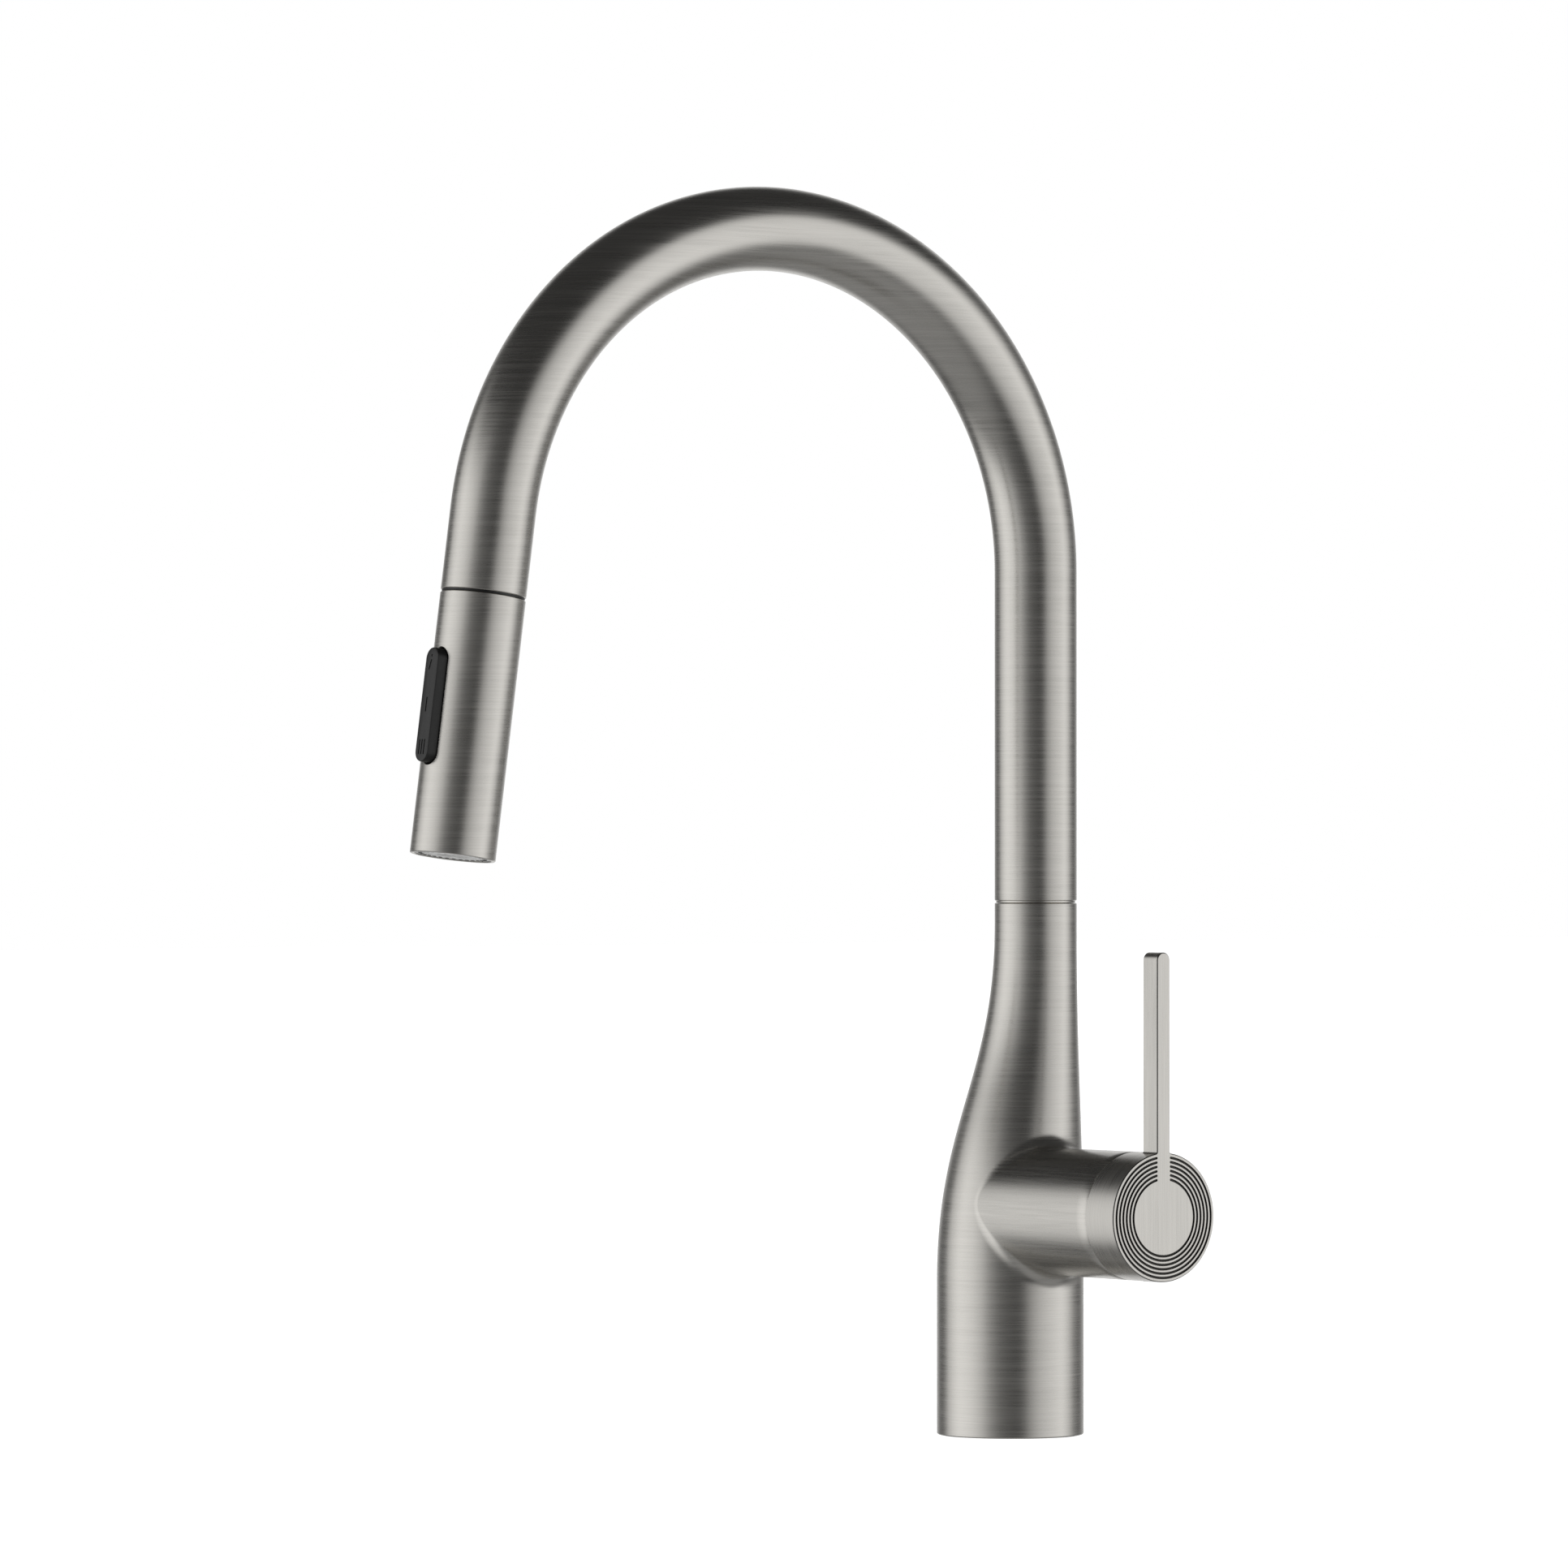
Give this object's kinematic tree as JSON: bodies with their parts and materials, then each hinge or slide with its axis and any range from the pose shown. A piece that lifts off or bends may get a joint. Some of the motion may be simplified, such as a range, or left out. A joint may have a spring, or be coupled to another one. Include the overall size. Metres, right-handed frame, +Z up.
{
  "type": "pull down kitchen faucet",
  "caption": "Single lever kitchen faucet with a swivelling gooseneck spout and a pull down spray head on a hose, for one deck hole.",
  "frame": {"origin": "centre of the foot where it stands on the worktop", "axes": "+Z up, -Y towards the spout and the user, +X towards the handle"},
  "size_m": [0.1085, 0.2675, 0.4202],
  "materials": {
    "brushed_body": "brushed nickel plate over cast brass",
    "brushed_handle": "brushed",
    "brushed_spout": "brushed",
    "brushed_head": "brushed",
    "brushed_trim": "brushed",
    "brass": "machined",
    "steel": "turned",
    "black_plastic": "matte black",
    "grey_plastic": "matte grey",
    "white_plastic": "moulded",
    "seal_rubber": "soft black",
    "nozzle_silicone": "soft grey",
    "ceramic_disc": "lapped",
    "magnet": "sintered ferrite",
    "hose_braid": "woven nylon braid over a plastic tube"
  },
  "bodies": {
    "body": {"body_casting": "brushed_body", "base_gasket": "seal_rubber", "spout_lock_screw": "steel", "cartridge_base": "white_plastic", "port_seals": "seal_rubber", "fixed_disc": "ceramic_disc", "cartridge_housing": "white_plastic", "cartridge_nut": "brass", "bonnet": "brass", "bonnet_seal": "seal_rubber", "swivel_bush_lower": "white_plastic", "swivel_bush_upper": "white_plastic"},
    "turret": {"turret": "white_plastic", "stem_pin": "steel"},
    "disc_slide": {"moving_disc": "ceramic_disc", "disc_carrier": "white_plastic"},
    "handle": {"handle": "brushed_handle", "stem": "brass", "handle_set_screw": "steel", "handle_plug": "black_plastic"},
    "spout": {"spout_tube": "brushed_spout", "spout_spigot": "brass", "spigot_o_ring": "seal_rubber", "swivel_ring": "brushed_trim", "hose_guide": "white_plastic", "dock_collar": "black_plastic", "dock_magnet": "magnet", "spray_hose": "hose_braid", "hose_tail_ferrule": "steel"},
    "hose_end": {"hose_end": "hose_braid", "hose_ferrule": "steel"},
    "spray_head": {"swivel_nut": "brass", "inlet_washer": "seal_rubber", "check_valve": "white_plastic", "head_ring": "white_plastic", "head_magnet": "magnet", "waterway_core": "white_plastic", "button_pin": "steel", "spray_shell": "brushed_head", "flow_divider": "white_plastic", "face_plate": "grey_plastic", "spray_nozzles": "nozzle_silicone", "aerator_housing": "grey_plastic", "aerator_screens": "steel"},
    "spool": {"diverter_spool": "white_plastic", "spool_o_rings": "seal_rubber"},
    "button": {"button": "black_plastic"}
  },
  "joints": [
    {"name": "spout_swivel", "type": "hinge", "parent": "body", "child": "spout", "pos_m": [0, 0.011, 0.165], "axis": [0, 0, 1], "continuous": true},
    {"name": "temperature_turn", "type": "hinge", "parent": "body", "child": "turret", "pos_m": [0.0563, 0, 0.0766], "axis": [1, 0, 0], "range_deg": [-45, 45]},
    {"name": "lever_tilt", "type": "hinge", "parent": "turret", "child": "handle", "pos_m": [0.0563, 0, 0.0766], "axis": [0, 1, 0], "range_deg": [0, 20]},
    {"name": "disc_slide", "type": "slide", "parent": "turret", "child": "disc_slide", "axis": [0, 0, 1], "range_m": [0, 0.0036]},
    {"name": "hose_pull", "type": "slide", "parent": "spout", "child": "hose_end", "axis": [0, -0.1392, -0.9903], "range_m": [0, 0.18], "stiffness_N_per_m": 4, "springref_m": -1.2},
    {"name": "head_turn", "type": "hinge", "parent": "hose_end", "child": "spray_head", "pos_m": [0, -0.21726, 0.27771], "axis": [0, -0.1392, -0.9903], "continuous": true},
    {"name": "button_rock", "type": "hinge", "parent": "spray_head", "child": "button", "pos_m": [0, -0.23232, 0.24524], "axis": [1, 0, 0], "range_deg": [-4, 4]},
    {"name": "spool_slide", "type": "slide", "parent": "spray_head", "child": "spool", "axis": [0, -0.1392, -0.9903], "range_m": [-0.0006, 0.0006]}
  ],
  "couplings": [
    {"joint": "disc_slide", "follows": "lever_tilt", "m_per_rad": 0.01},
    {"joint": "spool_slide", "follows": "button_rock", "m_per_rad": -0.007}
  ]
}
